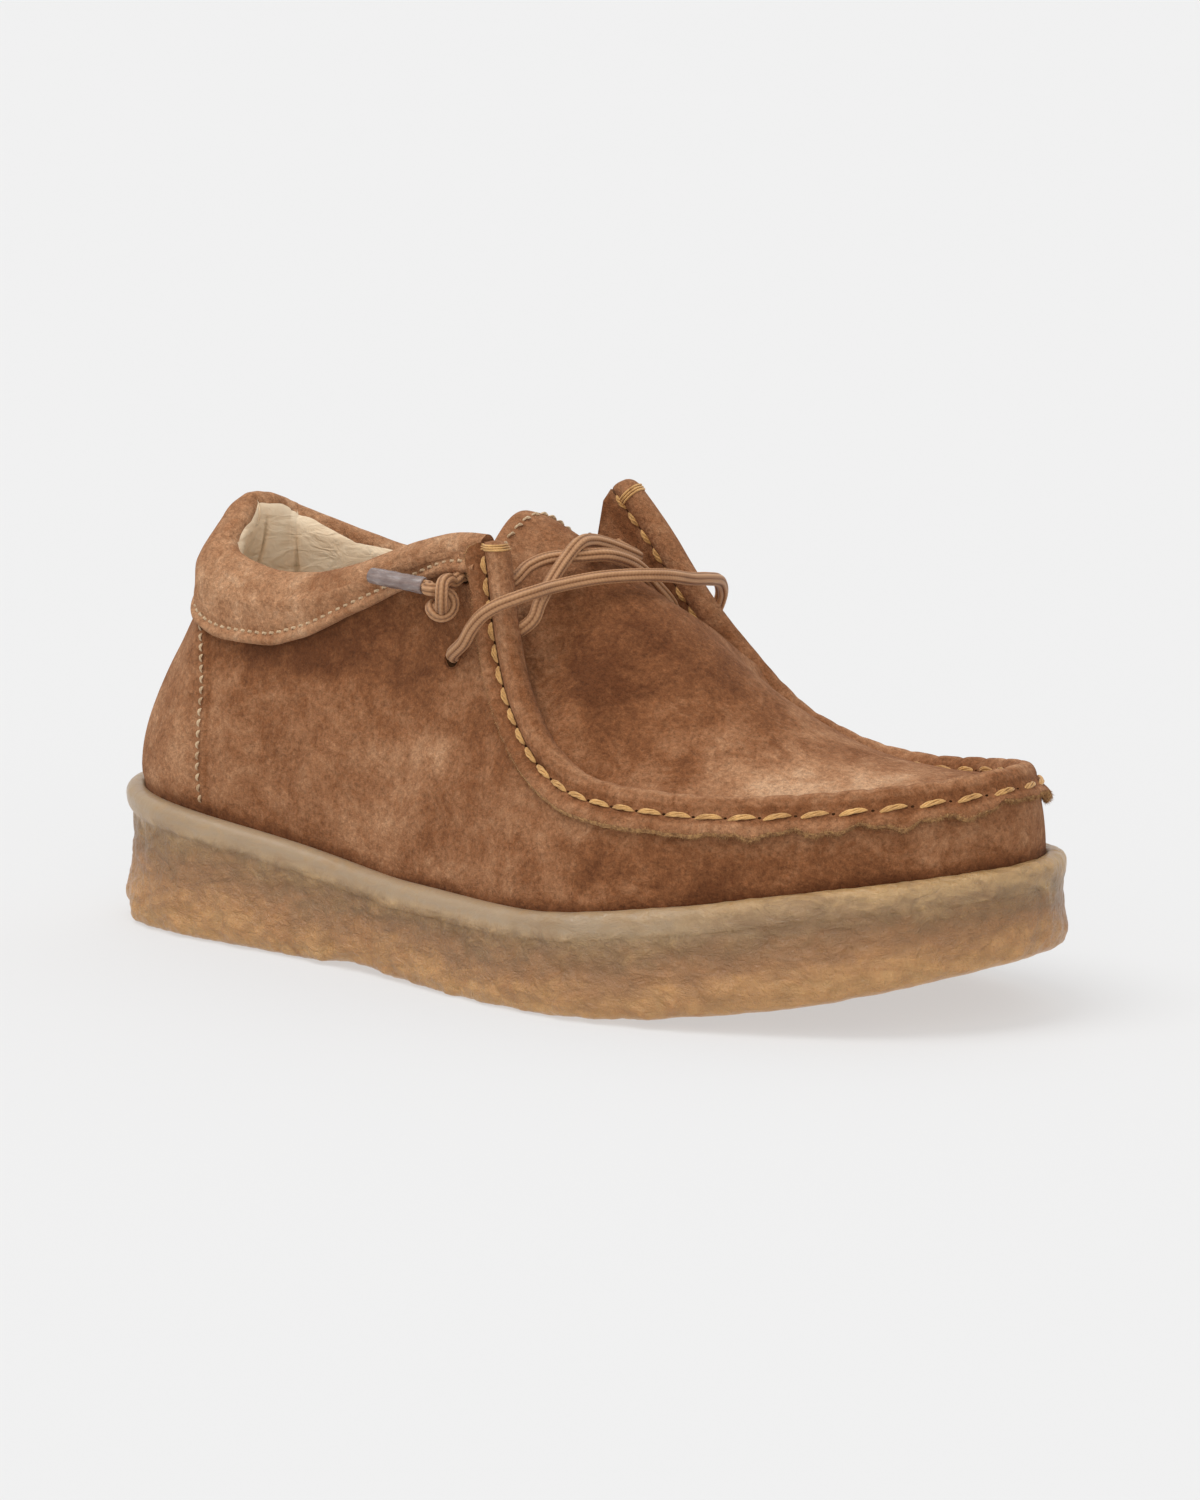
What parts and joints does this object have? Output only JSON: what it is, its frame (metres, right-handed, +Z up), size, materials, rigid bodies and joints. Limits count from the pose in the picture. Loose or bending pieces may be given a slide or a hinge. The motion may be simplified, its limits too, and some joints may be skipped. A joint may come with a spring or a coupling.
{
  "type": "moccasin lace-up shoe",
  "caption": "Right suede moccasin shoe with a raised apron seam, padded collar, thin elastic lace knotted at both ends and a gum cupsole.",
  "frame": {"origin": "on the floor, under the middle of the sole's bounding box", "axes": "+X from heel to toe, +Y to the medial side, +Z up"},
  "size_m": [0.27, 0.107, 0.1217],
  "materials": {
    "suede": "brushed suede, matte",
    "lining": "smooth, matte",
    "gum": "translucent crepe look, semi-matte",
    "cord": "ribbed elastic braid",
    "sleeve": "clear, satin"
  },
  "bodies": {
    "root": {"outsole": "gum", "insole": "lining", "upper": "suede", "tongue": "suede", "collar": "suede", "lace_bars": "cord", "knot_lateral": "cord", "knot_medial": "cord", "sleeve_lateral": "sleeve", "sleeve_medial": "sleeve"}
  },
  "joints": []
}
